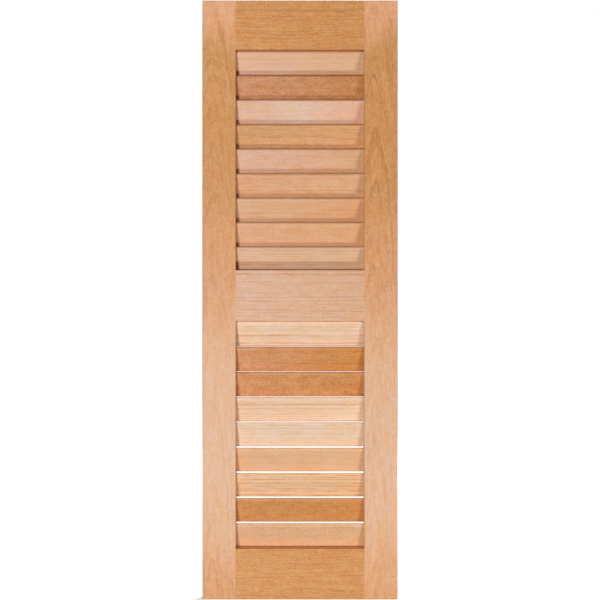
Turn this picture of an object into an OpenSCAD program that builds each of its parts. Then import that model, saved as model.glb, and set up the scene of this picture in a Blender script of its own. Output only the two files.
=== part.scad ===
// Fixed louvre shutter panel in clear western red cedar.
// Two stiles and three rails, joined with glued dowels, hold two banks of bullnosed
// louvres. Each louvre is housed in a stopped mortise in both stiles and doesn't move.
// X runs across the panel, -Y is the front face and Z is up. The origin is the centre
// of the bottom edge, midway through the thickness.

/* [Panel] */
// Width across both stiles
panel_w = 381; // [300:1:480]
// Height of the stiles
panel_h = 1168; // [960:1:1420]
// Thickness of the stiles and rails
frame_t = 44.5; // [36:0.5:54]
// Radius of the eased outer arrises
arris_r = 1.5; // [0.5:0.25:3]
// Radius of the eased arrises around the two openings
inner_arris_r = 1; // [0.5:0.25:2]

/* [Stiles and rails] */
// Width of each stile
stile_w = 65; // [54:1:80]
// Height of the top rail
top_rail_h = 96; // [80:1:120]
// Height of the mid rail
mid_rail_h = 100; // [80:1:125]
// Height of the bottom rail
bottom_rail_h = 98; // [80:1:120]
// How far the mid rail's centre lies above the middle of the panel
mid_rail_rise = 8; // [-40:1:40]

/* [Louvres] */
// Width of a louvre along its slope
louvre_w = 52.5; // [42:0.5:64]
// Thickness of a louvre, which is also the diameter of its bullnosed edges
louvre_t = 9.5; // [7.5:0.5:12]
// How far the louvres' upper edges lie behind the panel's front face
front_setback = 12.5; // [8:0.5:16]
// How far the louvres' lower edges lie inside the panel's back face
back_setback = 5.8; // [3:0.1:8]
// Number of louvres above the mid rail
upper_louvres = 9; // [6:1:10]
// Number of louvres below the mid rail
lower_louvres = 9; // [6:1:10]
// How much is ripped off the last upper louvre, so that it clears the mid rail
last_upper_rip = 4.4; // [0:0.2:8]
// How much is ripped off the last lower louvre, so that it clears the bottom rail
last_lower_rip = 1.8; // [0:0.2:8]
// Gap between a rail and the first louvre under it
head_gap = 0.3; // [0.2:0.1:5]
// Gap between the last louvre of a bank and the rail under it
foot_gap = 0.6; // [0.4:0.1:4]

/* [Louvre mortises] */
// How deep a louvre's end goes into the stile
housing_depth = 10; // [6:0.5:14]
// Clearance between a louvre and its mortise, all round
mortise_fit = 0.15; // [0.1:0.05:0.5]
// Space left between a louvre's end and the mortise floor
end_gap = 0.5; // [0.2:0.1:2]

/* [Dowels] */
// Diameter of the dowels
dowel_d = 10; // [8:0.5:12]
// Length of the dowels
dowel_len = 76; // [60:1:90]
// Distance between the two dowels of a joint
dowel_spacing = 50; // [36:1:60]
// Radial clearance of a dowel in its hole
dowel_fit = 0.05; // [0.03:0.01:0.2]
// Glue space past each end of a dowel
glue_space = 1.5; // [0.5:0.5:3]
// Chamfer on each end of a dowel
dowel_chamfer = 1; // [0.5:0.25:2]

/* [Hidden] */
$fn = 64;
// How far a cutting shape runs past the face it cuts
cut_past = 1;

// Boards' tones: one panel is made from boards of many shades
STILE = "#DBA578";
GOLDEN = "#D2955D";
BLUSH = "#DEB18F";
TAN = "#DCA67E";
UMBER = "#CC8E5B";
CREAM = "#EAC4A2";
DOWEL = "#D9B98C";
UPPER_TONES = [BLUSH, UMBER, BLUSH, GOLDEN, BLUSH, TAN, TAN, TAN, BLUSH];
LOWER_TONES = [CREAM, UMBER, UMBER, CREAM, CREAM, TAN, CREAM, UMBER, TAN];

// The opening between the stiles, and the heights of the rails' edges and centres
opening_w = panel_w - 2 * stile_w;
bottom_rail_top = bottom_rail_h;
bottom_rail_centre = bottom_rail_h / 2;
mid_rail_centre = panel_h / 2 + mid_rail_rise;
mid_rail_bottom = mid_rail_centre - mid_rail_h / 2;
mid_rail_top = mid_rail_centre + mid_rail_h / 2;
top_rail_bottom = panel_h - top_rail_h;
top_rail_centre = panel_h - top_rail_h / 2;

// Slope of the louvres from vertical, at which they just fill the depth between the setbacks
louvre_run = frame_t - front_setback - back_setback;
louvre_slope = asin((louvre_run - louvre_t) / (louvre_w - louvre_t));

// Height that a louvre of width w takes up at its slope
function louvre_rise(w) = (w - louvre_t) * cos(louvre_slope) + louvre_t;

// A bank of louvres between two rails, evenly pitched from the highest down. Each is
// [height of its upper edge, width], and the last has a width of its own.
function bank(count, low, high, last_w) =
    let (first = high - head_gap)
    let (final = low + foot_gap + louvre_rise(last_w))
    [for (i = [0 : count - 1])
        [first + (final - first) * i / (count - 1), i == count - 1 ? last_w : louvre_w]];

upper_bank = bank(upper_louvres, mid_rail_top, top_rail_bottom, louvre_w - last_upper_rip);
lower_bank = bank(lower_louvres, bottom_rail_top, mid_rail_bottom, louvre_w - last_lower_rip);

// Carries a Y-Z section along X, centred on the panel
module along_x(length) {
    rotate([90, 0, 90]) linear_extrude(length, center = true) children();
}

// A rectangle centred on the origin, with rounded corners
module rounded_rect(w, h, r) {
    square([w - 2 * r, h], center = true);
    square([w, h - 2 * r], center = true);
    for (x = [-1, 1], y = [-1, 1])
        translate([x * (w / 2 - r), y * (h / 2 - r)]) circle(r);
}

// The outside of the glued-up panel, with its outer arrises eased
module panel_blank() {
    intersection() {
        linear_extrude(panel_h) rounded_rect(panel_w, frame_t, arris_r);
        translate([0, 0, panel_h / 2]) along_x(panel_w) rounded_rect(frame_t, panel_h, arris_r);
    }
}

// A board of the frame, cut from the blank between two widths and two heights
module board(x0, x1, z0, z1) {
    intersection() {
        panel_blank();
        translate([x0, -frame_t / 2, z0]) cube([x1 - x0, frame_t, z1 - z0]);
    }
}

// What easing takes off an arris along Z, of the two faces at x = 0 and y = 0 that meet
// at the origin, with the board on their positive sides
module arris_waste(length) {
    linear_extrude(length, center = true) difference() {
        translate([-cut_past, -cut_past]) square(inner_arris_r + cut_past);
        translate([inner_arris_r, inner_arris_r]) circle(inner_arris_r);
    }
}

// The easing along a rail's edge, front and back: up is 1 for its upper edge
module rail_easing(z, up) {
    for (face = [0, 1])
        mirror([0, face, 0]) translate([0, -frame_t / 2, z])
            rotate([0, 90, 0]) rotate(up > 0 ? 0 : 90) arris_waste(opening_w + 2 * cut_past);
}

// The easing along both stiles' inner edges, front and back, between two rails
module stile_easing(z0, z1) {
    for (side = [0, 1], face = [0, 1])
        mirror([side, 0, 0]) mirror([0, face, 0])
            translate([opening_w / 2, -frame_t / 2, (z0 + z1) / 2]) arris_waste(z1 - z0);
}

// A louvre's section: a flat slat with fully rounded edges, leaning forward at the top.
// Its origin is on the panel's front face, level with the louvre's upper edge.
module louvre_section(w, clearance) {
    core = w - louvre_t;
    thickness = louvre_t + 2 * clearance;
    upper_nose = [front_setback + louvre_t / 2, -louvre_t / 2];
    translate(upper_nose) rotate(louvre_slope) translate([0, -core / 2]) {
        square([thickness, core], center = true);
        for (end = [-1, 1]) translate([0, end * core / 2]) circle(d = thickness);
    }
}

// A louvre, or with clearance the slot for one: slat is [height of its upper edge, width]
module louvre(slat, length, clearance = 0) {
    translate([0, -frame_t / 2, slat[0]]) along_x(length) louvre_section(slat[1], clearance);
}

// Places something along X at each dowel of a rail: two at each of its ends
module at_dowels(rail_centre) {
    for (end = [-1, 1], pair = [-1, 1])
        translate([end * opening_w / 2, 0, rail_centre + pair * dowel_spacing / 2])
            rotate([0, 90, 0]) children();
}

module dowel_holes(rail_centre) {
    at_dowels(rail_centre)
        cylinder(d = dowel_d + 2 * dowel_fit, h = dowel_len + 2 * glue_space, center = true);
}

module dowel() {
    body = dowel_len - 2 * dowel_chamfer;
    tip_d = dowel_d - 2 * dowel_chamfer;
    cylinder(d = dowel_d, h = body, center = true);
    for (end = [0, 180])
        rotate([end, 0, 0]) translate([0, 0, body / 2])
            cylinder(d1 = dowel_d, d2 = tip_d, h = dowel_chamfer);
}

module stile(x0) {
    slot_len = opening_w + 2 * (housing_depth + end_gap);
    color(STILE) difference() {
        board(x0, x0 + stile_w, 0, panel_h);
        stile_easing(bottom_rail_top, mid_rail_bottom);
        stile_easing(mid_rail_top, top_rail_bottom);
        for (slat = concat(upper_bank, lower_bank)) louvre(slat, slot_len, mortise_fit);
        for (z = [top_rail_centre, mid_rail_centre, bottom_rail_centre]) dowel_holes(z);
    }
}

// A rail between two heights, whose edges next to an opening are eased by the children
module rail(z0, z1, tone) {
    color(tone) difference() {
        board(-opening_w / 2, opening_w / 2, z0, z1);
        dowel_holes((z0 + z1) / 2);
        children();
    }
}

module left_stile() {
    stile(-panel_w / 2);
}

module right_stile() {
    stile(panel_w / 2 - stile_w);
}

module top_rail() {
    rail(top_rail_bottom, panel_h, GOLDEN) rail_easing(top_rail_bottom, -1);
}

module mid_rail() {
    rail(mid_rail_bottom, mid_rail_top, BLUSH) {
        rail_easing(mid_rail_bottom, -1);
        rail_easing(mid_rail_top, 1);
    }
}

module bottom_rail() {
    rail(0, bottom_rail_top, GOLDEN) rail_easing(bottom_rail_top, 1);
}

module rail_dowels(rail_centre) {
    color(DOWEL) at_dowels(rail_centre) dowel();
}

// Louvre number i of a bank, counted from its top
module bank_louvre(slats, tones, i) {
    color(tones[(i - 1) % len(tones)]) louvre(slats[i - 1], opening_w + 2 * housing_depth);
}

left_stile();
right_stile();
top_rail();
mid_rail();
bottom_rail();
rail_dowels(top_rail_centre);  // top_rail_dowels
rail_dowels(mid_rail_centre);  // mid_rail_dowels
rail_dowels(bottom_rail_centre);  // bottom_rail_dowels
for (i = [1 : upper_louvres])
    bank_louvre(upper_bank, UPPER_TONES, i);
for (i = [1 : lower_louvres])
    bank_louvre(lower_bank, LOWER_TONES, i);
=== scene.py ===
"""A louvred shutter panel in clear red cedar: its finish, its louvres' planed surfaces, and a pale studio."""

from collections import namedtuple
from math import atan2, cos, hypot, pi, radians, sin

import bpy
import numpy as np
from mathutils import Matrix, Vector


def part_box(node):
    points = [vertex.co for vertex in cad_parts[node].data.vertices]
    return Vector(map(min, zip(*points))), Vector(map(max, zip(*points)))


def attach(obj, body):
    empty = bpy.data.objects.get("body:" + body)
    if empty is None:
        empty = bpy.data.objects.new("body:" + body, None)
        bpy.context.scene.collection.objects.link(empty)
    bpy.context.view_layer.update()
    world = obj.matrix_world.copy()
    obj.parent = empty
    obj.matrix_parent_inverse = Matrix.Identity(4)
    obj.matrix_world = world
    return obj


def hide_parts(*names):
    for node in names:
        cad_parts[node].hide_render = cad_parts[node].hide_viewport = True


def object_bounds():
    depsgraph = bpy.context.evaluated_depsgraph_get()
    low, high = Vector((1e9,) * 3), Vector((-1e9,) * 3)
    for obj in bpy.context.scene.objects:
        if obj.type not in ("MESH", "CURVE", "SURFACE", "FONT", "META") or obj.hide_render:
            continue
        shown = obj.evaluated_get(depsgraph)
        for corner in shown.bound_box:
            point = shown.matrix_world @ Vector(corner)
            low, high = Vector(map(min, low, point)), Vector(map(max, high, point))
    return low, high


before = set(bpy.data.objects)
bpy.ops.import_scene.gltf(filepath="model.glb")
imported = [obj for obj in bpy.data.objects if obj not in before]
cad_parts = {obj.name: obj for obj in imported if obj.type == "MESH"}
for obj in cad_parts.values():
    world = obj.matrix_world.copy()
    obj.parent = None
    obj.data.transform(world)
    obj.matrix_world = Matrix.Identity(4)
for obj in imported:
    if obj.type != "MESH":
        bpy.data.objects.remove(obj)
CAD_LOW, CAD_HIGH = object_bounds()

MM = 0.001

# ---------------------------------------------------------------------------
# The studio, in metres from the middle of the panel's foot
# ---------------------------------------------------------------------------
CAMERA_DISTANCE = 3.16          # from the lens to the panel's front face
CAMERA_HEIGHT = 0.5836
CAMERA_LENS = 97.2              # focal length, in mm
SENSOR_WIDTH = 36.0             # in mm

KEY_PLACE = Vector((-0.61, -2.2, 0.48))
KEY_SIZE = (0.34, 0.34)
KEY_SHARE = 0.66                # brightness it gives a white board that faces the camera
LOW_PLACE = Vector((1.30, -1.68, -0.72))
LOW_SIZE = (0.60, 0.34)
LOW_SHARE = 0.25
SIDE_PLACE = Vector((1.05, -2.2, 0.30))
SIDE_SIZE = (0.60, 0.10)
SIDE_SHARE = 0.36
TOP_PLACE = Vector((-0.30, -1.60, 2.60))
TOP_SIZE = (0.50, 0.30)
TOP_SHARE = 0.16
REAR_PLACE = Vector((0.9, 2.2, 2.9))
REAR_SIZE = (1.6, 0.8)
REAR_SHARE = 0.85               # the same, for a white board that faces away from the camera
UPPER_BANK_HEIGHT = 0.86        # of the middle of the upper louvres, where their lights are aimed
LOWER_BANK_HEIGHT = 0.32
AMBIENT = 0.035                 # brightness of the even light
BACKDROP = 1.0
WHITE = (1, 1, 1, 1)
FLOOR_TONE = (0.85, 0.85, 0.85, 1)
FLOOR_RADIUS = 14.0
FLOOR_DROP = 0.0005             # how far the floor lies below the foot
FLOOR_GLOW = 0.55               # the floor's own light near the shutter, where shadows may show on it
GLOW_REACH = (1.2, 3.0)         # over these distances from it the floor fades to the white backdrop

# ---------------------------------------------------------------------------
# The stock each board was cut from
# ---------------------------------------------------------------------------
# tones: (share of the board's length, colour, strength of its grain), from its left or lower end
# ring: growth-ring spacing, in mm
# pith: where the heart of the tree lies, across and behind the board's middle, in mm
# lines: how dark the summer wood is
# speckle: strength of the short marks and pores
# wave: how far the grain wanders
# climb: how far the rings climb through the board for its length
Stock = namedtuple("Stock", "tones ring pith lines speckle wave climb")

# The stiles' tones, as (share of the height from the top, colour, strength of the grain). Besides the wood's
# own tone they hold painted light: below the middle the stiles are painted paler and pinker, as if they stood
# in brighter light.
STILE_TONES_AND_PAINTED_LIGHT = (
    (0.038, (222, 161, 117), 0.75),
    (0.093, (199, 140, 82), 1.00),
    (0.148, (200, 140, 84), 1.00),
    (0.246, (197, 137, 79), 1.00),
    (0.346, (198, 139, 85), 0.95),
    (0.420, (206, 146, 97), 0.90),
    (0.474, (204, 146, 100), 0.85),
    (0.526, (210, 155, 114), 0.75),
    (0.580, (212, 163, 123), 0.60),
    (0.672, (212, 167, 131), 0.50),
    (0.797, (216, 171, 137), 0.50),
    (0.887, (216, 168, 129), 0.55),
    (0.926, (216, 161, 119), 0.65),
    (0.966, (213, 154, 107), 0.75),
)


def plank(left, right, ring, pith, lines, speckle, wave, climb=0.0, middle=()):
    """Stock whose colour drifts from its left end to its right one, by way of `middle` if that is given."""
    tones = [(0.1, left, 1)] + [(0.5, tone, 1) for tone in middle] + [(0.9, right, 1)]
    return Stock(tones, ring, pith, lines, speckle, wave, climb)


# The stiles' stock takes their tones, painted light and all, turned to run up from the foot.
STILE_STOCK = Stock(tuple((1 - share, tone, grain) for share, tone, grain in reversed(STILE_TONES_AND_PAINTED_LIGHT)),
                    ring=2.9, pith=(12, 75), lines=0.62, speckle=0.75, wave=3.0, climb=0.045)
RAIL_STOCK = plank((206, 144, 86), (203, 140, 81),
                   ring=5.0, pith=(150, 90), lines=0.66, speckle=0.77, wave=4.0)
MID_RAIL_STOCK = plank((208, 165, 135), (208, 162, 125),
                       ring=5.4, pith=(160, 60), lines=0.65, speckle=0.42, wave=2.0)
DOWEL_STOCK = plank((222, 192, 148), (219, 188, 143),
                    ring=1.6, pith=(60, 60), lines=0.30, speckle=0.30, wave=1.0)

UPPER_STOCK = (
    plank((225, 179, 147), (222, 175, 133), ring=5.2, pith=(170, 40), lines=0.51, speckle=0.19, wave=1.2),
    plank((195, 136, 96), (188, 125, 71), ring=5.0, pith=(160, 60), lines=0.23, speckle=0.99, wave=2.0),
    plank((214, 168, 138), (218, 167, 135), ring=5.6, pith=(160, 50), lines=0.12, speckle=0.34, wave=1.5,
          middle=[(216, 180, 154)]),
    plank((203, 152, 103), (211, 154, 103),
          ring=4.6, pith=(90, 60), lines=0.58, speckle=0.49, wave=4.0, climb=0.05),
    plank((211, 165, 138), (208, 157, 115), ring=5.0, pith=(150, 50), lines=0.10, speckle=0.50, wave=2.0),
    plank((212, 158, 118), (212, 161, 117), ring=5.4, pith=(150, 50), lines=0.56, speckle=0.44, wave=2.0),
    plank((209, 165, 127), (211, 154, 108), ring=5.6, pith=(160, 50), lines=0.41, speckle=0.30, wave=1.6),
    plank((212, 160, 123), (211, 157, 110), ring=5.2, pith=(160, 50), lines=0.20, speckle=0.49, wave=2.0),
    plank((212, 171, 139), (210, 169, 132), ring=5.2, pith=(160, 50), lines=0.64, speckle=0.28, wave=1.5),
)
LOWER_STOCK = (
    plank((232, 198, 164), (232, 198, 166), ring=5.6, pith=(175, 30), lines=0.86, speckle=0.26, wave=1.2),
    plank((210, 149, 105), (205, 136, 70), ring=5.2, pith=(150, 60), lines=0.53, speckle=0.75, wave=2.0),
    plank((208, 144, 96), (204, 138, 81), ring=5.0, pith=(150, 60), lines=0.12, speckle=1.11, wave=2.5),
    plank((236, 198, 165), (240, 204, 169), ring=6.0, pith=(178, 20), lines=0.75, speckle=0.30, wave=0.8),
    plank((235, 204, 175), (236, 201, 168), ring=5.6, pith=(175, 30), lines=0.70, speckle=0.26, wave=1.0),
    plank((226, 176, 134), (229, 181, 138), ring=5.4, pith=(170, 40), lines=0.18, speckle=0.39, wave=1.4),
    plank((240, 198, 158), (240, 195, 148),
          ring=5.4, pith=(178, 15), lines=1.43, speckle=0.40, wave=1.0, climb=0.004),
    plank((209, 144, 87), (211, 143, 82), ring=5.2, pith=(150, 60), lines=0.30, speckle=0.90, wave=2.0),
    plank((225, 175, 135), (227, 179, 133), ring=5.4, pith=(170, 40), lines=0.16, speckle=0.50, wave=1.2),
)

EARLY_TINT = (1.03, 1.06, 1.10)      # the pale spring wood, against the board's mean tone
LATE_TINT = (0.77, 0.56, 0.42)       # the dark summer wood, against the same
SHADE = (0.72, 1.4, 2.4)             # how much a shade of the wood moves its red, green and blue
PATCH = (-0.05, 0.16, 0.55)          # the same, from golden to pink
FLECK_TINT = (0.62, 0.48, 0.36)
END_GRAIN_TINT = (0.62, 0.52, 0.42)

# How large the marks are along, across and through a board, in metres
SWAY_SIZE = (0.22, 0.05, 0.05)       # slow bends of the grain
RIPPLE_SIZE = (0.030, 0.012, 0.03)   # small bends of it
BREAK_SIZE = (0.034, 0.0036, 0.0036) # unbroken lengths of a summer line
STREAK_SIZE = (0.10, 0.0040, 0.0040)
FIBRE_SIZE = (0.022, 0.0011, 0.0011)
PORE_SIZE = (0.0040, 0.0024, 0.0024)
MOTTLE_SIZE = (0.022, 0.011, 0.011)
PATCH_SIZE = (0.045, 0.016, 0.016)
DRIFT_SIZE = (0.24, 0.045, 0.045)    # how unevenly a board goes from one tone to the next
FLECK_SIZE = (0.0075, 0.0015, 0.0015)
SEED_STEP = (0.731, 0.417, 0.593)    # how far apart two boards lie in the noise, for each step of the seed

# How strong they are
SWAY_REACH = 4 * MM                  # for a wave of 1
RIPPLE_REACH = 1.2 * MM
SWAY_BEHIND = 0.6                    # share of the sway that also bends the grain in depth
RING_UNEVENNESS = 2.2                # in rings
WEAK_RING, WEAK_STRETCH = 0.25, 0.2  # what is left of a weak ring's line, and of a line where it breaks up
BAND_SHARE, MOTTLE_SHARE, STREAK_SHARE, FIBRE_SHARE = 0.12, 0.45, 0.16, 0.16
TONE_DRIFT = 0.10
FLECK_SHARE = 0.5

# Between which values a mark goes from none to full
SUMMER_START, SUMMER_END = (0.42, 0.84), (0.93, 1.0)    # in shares of a ring's width
STRONG_RING, UNBROKEN, BAND = (0.28, 0.70), (0.36, 0.60), (0.30, 0.70)
FLECK, END_GRAIN = (0.74, 0.82), (0.75, 0.95)

ROUGHNESS, END_ROUGHNESS = 0.52, 0.18
RELIEF_STRENGTH, RELIEF_DEPTH = 0.35, 0.12 * MM
SPECULAR = 0.28

# ---------------------------------------------------------------------------
# The louvres' section, and how far a planed slat strays from true
# ---------------------------------------------------------------------------
LOUVRE_THICKNESS = 9.5 * MM
SLAT_LEAN = radians(0.22)
SLAT_BOW = 0.12 * MM
SLAT_SAG = 0.10 * MM


# ---------------------------------------------------------------------------
# Shader maths
# ---------------------------------------------------------------------------
class Field:
    """A value that varies over a surface. Arithmetic on one adds Math nodes."""

    def __init__(self, shader, socket):
        self.shader = shader
        self.socket = socket

    def maths(self, operation, *values):
        return self.shader.node("ShaderNodeMath", {"operation": operation}, dict(enumerate(values)))

    def __add__(self, other):
        return self.maths("ADD", self, other)

    def __sub__(self, other):
        return self.maths("SUBTRACT", self, other)

    def __rsub__(self, other):
        return self.maths("SUBTRACT", other, self)

    def __mul__(self, other):
        return self.maths("MULTIPLY", self, other)

    def __truediv__(self, other):
        return self.maths("DIVIDE", self, other)

    def __pow__(self, other):
        return self.maths("POWER", self, other)

    def __abs__(self):
        return self.maths("ABSOLUTE", self)

    __radd__ = __add__
    __rmul__ = __mul__


class Shader:
    """The nodes of one material or world, and the ways to add to them."""

    def __init__(self, owner):
        self.owner = owner
        owner.use_nodes = True
        self.tree = owner.node_tree
        self.tree.nodes.clear()

    def node(self, kind, settings=None, sockets=None, output=0):
        """Adds a node: its settings first, then the values or links of its sockets."""
        made = self.tree.nodes.new(kind)
        for name, value in (settings or {}).items():
            if name == "stops":
                self.set_stops(made.color_ramp, value)
            else:
                setattr(made, name, value)
        for name, value in (sockets or {}).items():
            if isinstance(value, Field):
                self.tree.links.new(value.socket, made.inputs[name])
            else:
                made.inputs[name].default_value = value
        return Field(self, made.outputs[output]) if made.outputs else None

    @staticmethod
    def set_stops(ramp, stops):
        for _ in range(len(stops) - len(ramp.elements)):
            ramp.elements.new(0.5)
        for element, (place, colour) in zip(ramp.elements, stops):
            element.position = place
            element.color = colour

    def vector(self, operation, *values):
        """Vector Math on vectors or colours; SCALE takes a vector and a number."""
        sockets = dict(enumerate(values))
        if operation == "SCALE":
            sockets = {"Vector": values[0], "Scale": values[1]}
        return self.node("ShaderNodeVectorMath", {"operation": operation}, sockets)

    def blend(self, factor, first, second):
        """A colour part of the way from the first to the second."""
        # of the Mix node's sockets, 6 and 7 are its colours A and B, and output 2 is its colour result
        return self.node("ShaderNodeMix", {"data_type": "RGBA"}, {0: factor, 6: first, 7: second}, output=2)

    def noise(self, place, size, detail=2.0, roughness=0.5):
        """Soft noise from 0 to 1 about 0.5, whose grains are as large as `size` along each axis."""
        stretched = self.vector("DIVIDE", place, size)
        sockets = {"Vector": stretched, "Scale": 1.0, "Detail": detail, "Roughness": roughness}
        return self.node("ShaderNodeTexNoise", {"noise_dimensions": "3D"}, sockets)

    def line_noise(self, along, detail=1.0):
        """Noise on a single number."""
        sockets = {"W": along, "Scale": 1.0, "Detail": detail, "Roughness": 0.6}
        return self.node("ShaderNodeTexNoise", {"noise_dimensions": "1D"}, sockets)

    def ease(self, value, low, high):
        """0 below `low`, 1 above `high`, and a smooth step between them."""
        sockets = {"Value": value, "From Min": low, "From Max": high}
        return self.node("ShaderNodeMapRange", {"interpolation_type": "SMOOTHSTEP"}, sockets)


def linear(tone):
    """The light that a surface reflects, for its colour as a screen shows it, from 0 to 255."""
    shares = np.array(tone, float) / 255
    return tuple(np.where(shares > 0.04045, ((shares + 0.055) / 1.055) ** 2.4, shares / 12.92))


# ---------------------------------------------------------------------------
# Cedar
# ---------------------------------------------------------------------------
def board_axes(low, high, upright=False, slope=0.0):
    """Where a board lies: its middle, and the turn that takes x along its fibres, y across its face and z
    through it."""
    middle = (low + high) / 2
    if upright:
        turn = Matrix(((0, 0, 1), (1, 0, 0), (0, 1, 0)))
    else:
        across = Vector((0, -sin(slope), cos(slope)))
        turn = Matrix((Vector((1, 0, 0)), across, Vector((1, 0, 0)).cross(across)))
    return middle, turn.transposed().to_euler()


def cedar(name, stock, seed, middle, turn, length):
    """Solid cedar, so that every face and end shows the same growth rings.

    The rings are circles round a pith that lies beside and behind the board's middle and climbs along it. Two
    sizes of noise bend them, and a third makes their widths uneven. Each ring darkens from spring to summer
    wood and stops sharply. Some rings are darker than others, and their lines break up along the grain. Fibre
    streaks, pores, patches of golden and pink wood and a few flecks lie on top, and the ends are darker.
    """
    s = Shader(bpy.data.materials.new(name))
    here = s.node("ShaderNodeTexCoord", output="Object")
    sockets = {"Vector": here, "Location": middle, "Rotation": turn}
    board = s.node("ShaderNodeMapping", {"vector_type": "TEXTURE"}, sockets)
    along, across, deep = (s.node("ShaderNodeSeparateXYZ", {}, {0: board}, axis) for axis in "XYZ")
    place = s.vector("ADD", board, tuple(seed * step for step in SEED_STEP))

    # growth rings; each noise on `years` has a pace of its own from ring to ring, and an offset from the seed
    sway = (s.noise(place, SWAY_SIZE, 1) - 0.5) * (stock.wave * SWAY_REACH)
    ripple = (s.noise(place, RIPPLE_SIZE, 2) - 0.5) * (stock.wave * RIPPLE_REACH)
    beside = across + (sway + ripple + stock.pith[0] * MM)
    behind = deep + (sway * SWAY_BEHIND + along * stock.climb + stock.pith[1] * MM)
    years = (beside * beside + behind * behind) ** 0.5 / (stock.ring * MM)
    years = years + s.line_noise(years * 0.31 + seed * 3.1) * RING_UNEVENNESS
    season = years.maths("FRACT", years)
    summer = s.ease(season, *SUMMER_START) * (1 - s.ease(season, *SUMMER_END))
    strong = s.ease(s.line_noise(years * 0.57 + seed * 5.7, 2), *STRONG_RING)
    broken = s.ease(s.noise(place, BREAK_SIZE, 2, 0.6), *UNBROKEN)
    bands = s.ease(s.line_noise(years * 0.13 + seed * 7.9), *BAND)
    line = summer * (strong * (1 - WEAK_RING) + WEAK_RING) * (broken * (1 - WEAK_STRETCH) + WEAK_STRETCH)
    latewood = line + bands * BAND_SHARE

    # fibres, pores and patches
    streaks = s.noise(place, STREAK_SIZE, 2, 0.5) - 0.5
    fibres = s.noise(place, FIBRE_SIZE, 3, 0.6) - 0.5
    pores = s.noise(place, PORE_SIZE, 2, 0.7) - 0.5
    mottle = s.noise(place, MOTTLE_SIZE, 2, 0.6) - 0.5
    patches = s.noise(place, PATCH_SIZE, 2, 0.5) - 0.5
    drift = s.noise(place, DRIFT_SIZE, 1) - 0.5
    flecks = s.ease(s.noise(place, FLECK_SIZE, 1), *FLECK)

    # colour
    stops = [(share, (*linear(tone), grain)) for share, tone, grain in stock.tones]
    spot = along / length + 0.5 + drift * TONE_DRIFT
    tone = s.node("ShaderNodeValToRGB", {"stops": stops}, {0: spot})
    grain = s.node("ShaderNodeValToRGB", {"stops": stops}, {0: spot}, "Alpha")
    early = s.vector("MULTIPLY", tone, EARLY_TINT)
    late = s.vector("MULTIPLY", tone, LATE_TINT)
    colour = s.blend(latewood * grain * stock.lines, early, late)
    marks = (pores + mottle * MOTTLE_SHARE) * grain * stock.speckle
    shade = marks + streaks * STREAK_SHARE + fibres * FIBRE_SHARE
    tint = s.vector("ADD", s.vector("SCALE", SHADE, shade), s.vector("SCALE", PATCH, patches))
    colour = s.vector("MULTIPLY", colour, s.vector("ADD", tint, (1, 1, 1)))
    colour = s.blend(flecks * FLECK_SHARE, colour, s.vector("MULTIPLY", colour, FLECK_TINT))

    # end grain
    facing = s.node("ShaderNodeNewGeometry", output="Normal")
    way = turn.to_matrix() @ Vector((1, 0, 0))
    sockets = {0: facing, 1: tuple(way)}
    endwise = abs(s.node("ShaderNodeVectorMath", {"operation": "DOT_PRODUCT"}, sockets, "Value"))
    ends = s.ease(endwise, *END_GRAIN)
    colour = s.blend(ends, colour, s.vector("MULTIPLY", colour, END_GRAIN_TINT))

    # surface
    rough = ROUGHNESS + fibres * 0.20 + ends * END_ROUGHNESS - latewood * 0.06
    height = latewood * 0.5 + fibres * 0.7 + pores * 0.4 - flecks * 0.6
    sockets = {"Strength": RELIEF_STRENGTH, "Distance": RELIEF_DEPTH, "Height": height}
    relief = s.node("ShaderNodeBump", {}, sockets)
    finish = s.node("ShaderNodeBsdfPrincipled", {}, {
        "Base Color": colour, "Roughness": rough, "Normal": relief, "Specular IOR Level": SPECULAR})
    s.node("ShaderNodeOutputMaterial", {}, {"Surface": finish})
    return s.owner


def dress(piece, material):
    """Gives a piece one material."""
    piece.data.materials.clear()
    piece.data.materials.append(material)


# ---------------------------------------------------------------------------
# Louvres
# ---------------------------------------------------------------------------
def stadium(thickness, run, rise, flat_steps=10, round_steps=22):
    """A louvre's section, as points (y, z) about its middle: two flats a thickness apart, joined by half
    circles about the ends of a middle line that falls by `rise` while it goes back by `run`.

    With t the slope from upright, a point lies at y = a sin t - b cos t and z = -a cos t - b sin t, where
    (a, b) is (from -half to half, radius) on the front flat and (half + radius sin v, radius cos v) round the
    lower edge, v from 0 to pi. The rear flat and the upper edge are the same with a and b negated."""
    half = hypot(run, rise) / 2
    slope = atan2(run, rise)
    flat = np.linspace(-half, half, flat_steps, endpoint=False)
    turn = np.linspace(0, pi, round_steps, endpoint=False)
    radius = thickness / 2
    # along: down the face from the upper edge; out: towards the front
    along = np.concatenate((flat, half + radius * np.sin(turn), -flat, -half - radius * np.sin(turn)))
    out = np.concatenate((np.full(flat_steps, radius), radius * np.cos(turn),
                          np.full(flat_steps, -radius), -radius * np.cos(turn)))
    y = along * sin(slope) - out * cos(slope)
    z = -along * cos(slope) - out * sin(slope)
    return y, z


def middle_line(low, high):
    """How far a louvre's middle line goes back and how far it falls, from the louvre's box."""
    return high.y - low.y - LOUVRE_THICKNESS, high.z - low.z - LOUVRE_THICKNESS


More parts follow.
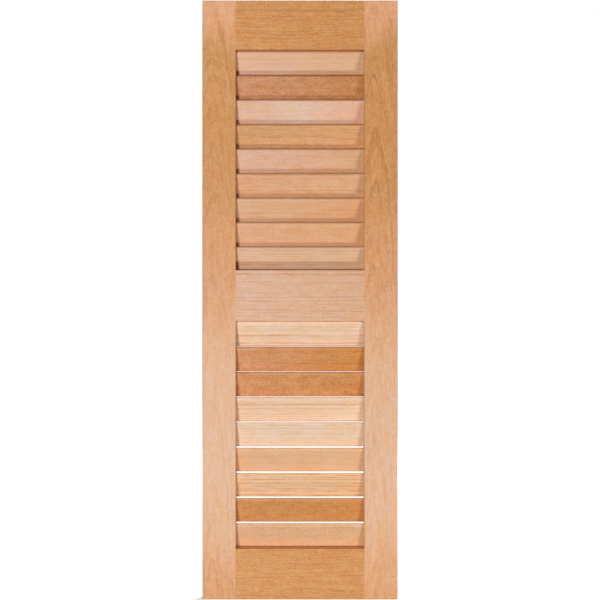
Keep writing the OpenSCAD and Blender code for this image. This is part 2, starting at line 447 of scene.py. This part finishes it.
def louvre_surface(name, low, high, seed, length_steps=48):
    """A planed slat: the section carried along x, at x = low + share (high - low).

    It turns by SLAT_LEAN u sin(pi share) cos(pi share + v), bows by SLAT_BOW u sin(pi share) and sags by
    SLAT_SAG u sin(pi share), each u and v drawn from the seed. All three are nought at its ends, where it is
    housed. The ends are flat."""
    random = np.random.default_rng(seed)
    y, z = stadium(LOUVRE_THICKNESS, *middle_line(low, high))
    share = np.linspace(0, 1, length_steps)[:, None]
    wave = np.sin(pi * share)
    lean = SLAT_LEAN * random.uniform(-1, 1) * wave * np.cos(pi * share + random.uniform(0, pi))
    bow = SLAT_BOW * random.uniform(-1, 1) * wave
    sag = SLAT_SAG * random.uniform(-1, 0.2) * wave
    x = low.x + share * (high.x - low.x)
    middle = (low + high) / 2
    grid = np.empty((length_steps, y.size, 3))
    grid[..., 0] = x
    grid[..., 1] = middle.y + y * np.cos(lean) - z * np.sin(lean) + bow
    grid[..., 2] = middle.z + y * np.sin(lean) + z * np.cos(lean) + sag
    return tube_mesh(name, grid)


def tube_mesh(name, grid):
    """A closed tube through a grid of rings, with one flat face across each end."""
    rings, points = grid.shape[:2]
    ring, point = np.meshgrid(np.arange(rings - 1), np.arange(points), indexing="ij")
    after = (point + 1) % points
    walls = np.stack((ring * points + point, ring * points + after,
                      (ring + 1) * points + after, (ring + 1) * points + point), -1).reshape(-1, 4)
    faces = [tuple(face) for face in walls.tolist()]
    faces.append(tuple(reversed(range(points))))
    faces.append(tuple(range((rings - 1) * points, rings * points)))
    mesh = bpy.data.meshes.new(name)
    mesh.from_pydata(grid.reshape(-1, 3).tolist(), [], faces)
    smooth = np.ones(len(faces), bool)
    smooth[-2:] = False
    mesh.polygons.foreach_set("use_smooth", smooth)
    mesh.update()
    piece = bpy.data.objects.new(name, mesh)
    bpy.context.scene.collection.objects.link(piece)
    return piece


# ---------------------------------------------------------------------------
# The shutter
# ---------------------------------------------------------------------------
BANK_SEED = {"upper": 100, "lower": 150}
UPPER_SLOTS = ("blush", "umber", "blush", "golden", "blush", "tan", "tan", "tan", "blush")
LOWER_SLOTS = ("cream", "umber", "umber", "cream", "cream", "tan", "cream", "umber", "tan")


def finish_frame():
    """Gives each board and dowel its wood. The stiles' fibres run upwards, the others' along x."""
    boards = (
        ("left_stile", STILE_STOCK, 11, True),
        ("right_stile", STILE_STOCK, 23, True),
        ("top_rail", RAIL_STOCK, 37, False),
        ("mid_rail", MID_RAIL_STOCK, 41, False),
        ("bottom_rail", RAIL_STOCK, 53, False),
        ("top_rail_dowels", DOWEL_STOCK, 61, False),
        ("mid_rail_dowels", DOWEL_STOCK, 67, False),
        ("bottom_rail_dowels", DOWEL_STOCK, 71, False),
    )
    for node, stock, seed, upright in boards:
        low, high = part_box(node)
        middle, turn = board_axes(low, high, upright)
        length = (high - low).z if upright else (high - low).x
        dress(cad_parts[node], cedar(node, stock, seed, middle, turn, length))
    return [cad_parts[board[0]] for board in boards]


def make_louvres(bank, stocks, slots):
    """One planed slat for each louvre of a bank, from the top down."""
    slats = []
    for number, (stock, slot) in enumerate(zip(stocks, slots), 1):
        node = f"{bank}_louvre_{number}"
        low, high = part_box(node)
        seed = BANK_SEED[bank] + number
        slat = louvre_surface(f"{bank}_slat_{number}", low, high, seed)
        middle, turn = board_axes(low, high, slope=atan2(*middle_line(low, high)))
        dress(slat, cedar(f"{bank}_slat_{number}", stock, seed, middle, turn, high.x - low.x))
        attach(slat, "root")
        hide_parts(node)
        slats.append(slat)
    return slats


# ---------------------------------------------------------------------------
# Studio
# ---------------------------------------------------------------------------
def aim(piece, place, target):
    """Puts a lamp or the camera at a place and points it at the target."""
    piece.location = place
    piece.rotation_mode = "QUATERNION"
    piece.rotation_quaternion = (target - place).to_track_quat("-Z", "Y")


def soft_light(name, place, size, share, target, faces, lit=None):
    """A rectangular lamp. Its power makes a white board at the target, facing `faces`, as bright as `share`.
    With `lit`, it lights those pieces alone."""
    lamp = bpy.data.lights.new(name, "AREA")
    lamp.shape = "RECTANGLE"
    lamp.size, lamp.size_y = size
    way = place - target
    lamp.energy = share * pi ** 2 * way.length_squared / way.normalized().dot(faces)
    piece = bpy.data.objects.new(name, lamp)
    bpy.context.scene.collection.objects.link(piece)
    aim(piece, place, target)
    if lit:
        group = bpy.data.collections.new(f"{name}_lights")
        for each in lit:
            group.objects.link(each)
        piece.light_linking.receiver_collection = group


def make_floor():
    """A pale round floor that shows white to the camera and throws no light back at the shutter."""
    turn = np.linspace(0, 2 * pi, 96, endpoint=False)
    rim = np.stack((FLOOR_RADIUS * np.cos(turn), FLOOR_RADIUS * np.sin(turn),
                    np.full_like(turn, -FLOOR_DROP)), -1)
    mesh = bpy.data.meshes.new("floor")
    mesh.from_pydata(rim.tolist(), [], [tuple(range(len(rim)))])
    floor = bpy.data.objects.new("floor", mesh)
    bpy.context.scene.collection.objects.link(floor)
    floor.visible_diffuse = False
    floor.visible_glossy = False
    floor.visible_shadow = False
    s = Shader(bpy.data.materials.new("floor"))
    here = s.node("ShaderNodeTexCoord", output="Object")
    far = s.ease(s.node("ShaderNodeVectorMath", {"operation": "LENGTH"}, {0: here}, "Value"), *GLOW_REACH)
    glow = s.blend(far, (FLOOR_GLOW, FLOOR_GLOW, FLOOR_GLOW, 1), WHITE)
    pale = s.node("ShaderNodeBsdfPrincipled", {}, {
        "Base Color": FLOOR_TONE, "Roughness": 0.8,
        "Emission Color": glow, "Emission Strength": 1.0})
    s.node("ShaderNodeOutputMaterial", {}, {"Surface": pale})
    dress(floor, s.owner)


def make_world():
    """White behind everything, and a weak even light from all round."""
    s = Shader(bpy.data.worlds.new("studio"))
    seen = s.node("ShaderNodeLightPath", output="Is Camera Ray")
    weak, white = (s.node("ShaderNodeBackground", {}, {"Color": WHITE, "Strength": strength})
                   for strength in (AMBIENT, BACKDROP))
    mixed = s.node("ShaderNodeMixShader", {}, {0: seen, 1: weak, 2: white})
    s.node("ShaderNodeOutputWorld", {}, {0: mixed})
    bpy.context.scene.world = s.owner


def make_studio(boards, upper_slats, lower_slats):
    """The key lights everything. Of the two weak lights from the right, the low one reaches up into the upper
    louvres and over the frame, and the level one lights the lower louvres. The top light is for the frame and
    the upper louvres' upper edges, apart from the first one's, which the top rail would shade. The rear light
    is for the back."""
    towards_camera = Vector((0, -1, 0))
    front = Vector((0, CAD_LOW.y, CAMERA_HEIGHT))
    upper_bank = Vector((0, CAD_LOW.y, UPPER_BANK_HEIGHT))
    lower_bank = Vector((0, CAD_LOW.y, LOWER_BANK_HEIGHT))
    back = Vector((0, CAD_HIGH.y, CAMERA_HEIGHT))
    soft_light("key", KEY_PLACE, KEY_SIZE, KEY_SHARE, front, towards_camera)
    soft_light("low", LOW_PLACE, LOW_SIZE, LOW_SHARE, upper_bank, towards_camera, boards + upper_slats)
    soft_light("side", SIDE_PLACE, SIDE_SIZE, SIDE_SHARE, lower_bank, towards_camera, lower_slats)
    soft_light("top", TOP_PLACE, TOP_SIZE, TOP_SHARE, upper_bank, towards_camera, boards + upper_slats[1:])
    soft_light("rear", REAR_PLACE, REAR_SIZE, REAR_SHARE, back, -towards_camera)
    make_floor()
    make_world()
    bpy.context.scene.view_settings.view_transform = "Standard"


def make_camera():
    """Level with the middle of the panel, square on."""
    lens = bpy.data.cameras.new("camera")
    lens.lens = CAMERA_LENS
    lens.sensor_width = SENSOR_WIDTH
    camera = bpy.data.objects.new("camera", lens)
    bpy.context.scene.collection.objects.link(camera)
    place = Vector((0, CAD_LOW.y - CAMERA_DISTANCE, CAMERA_HEIGHT))
    aim(camera, place, Vector((0, 0, CAMERA_HEIGHT)))
    bpy.context.scene.camera = camera


make_camera()
boards = finish_frame()
upper_slats = make_louvres("upper", UPPER_STOCK, UPPER_SLOTS)
lower_slats = make_louvres("lower", LOWER_STOCK, LOWER_SLOTS)
make_studio(boards, upper_slats, lower_slats)
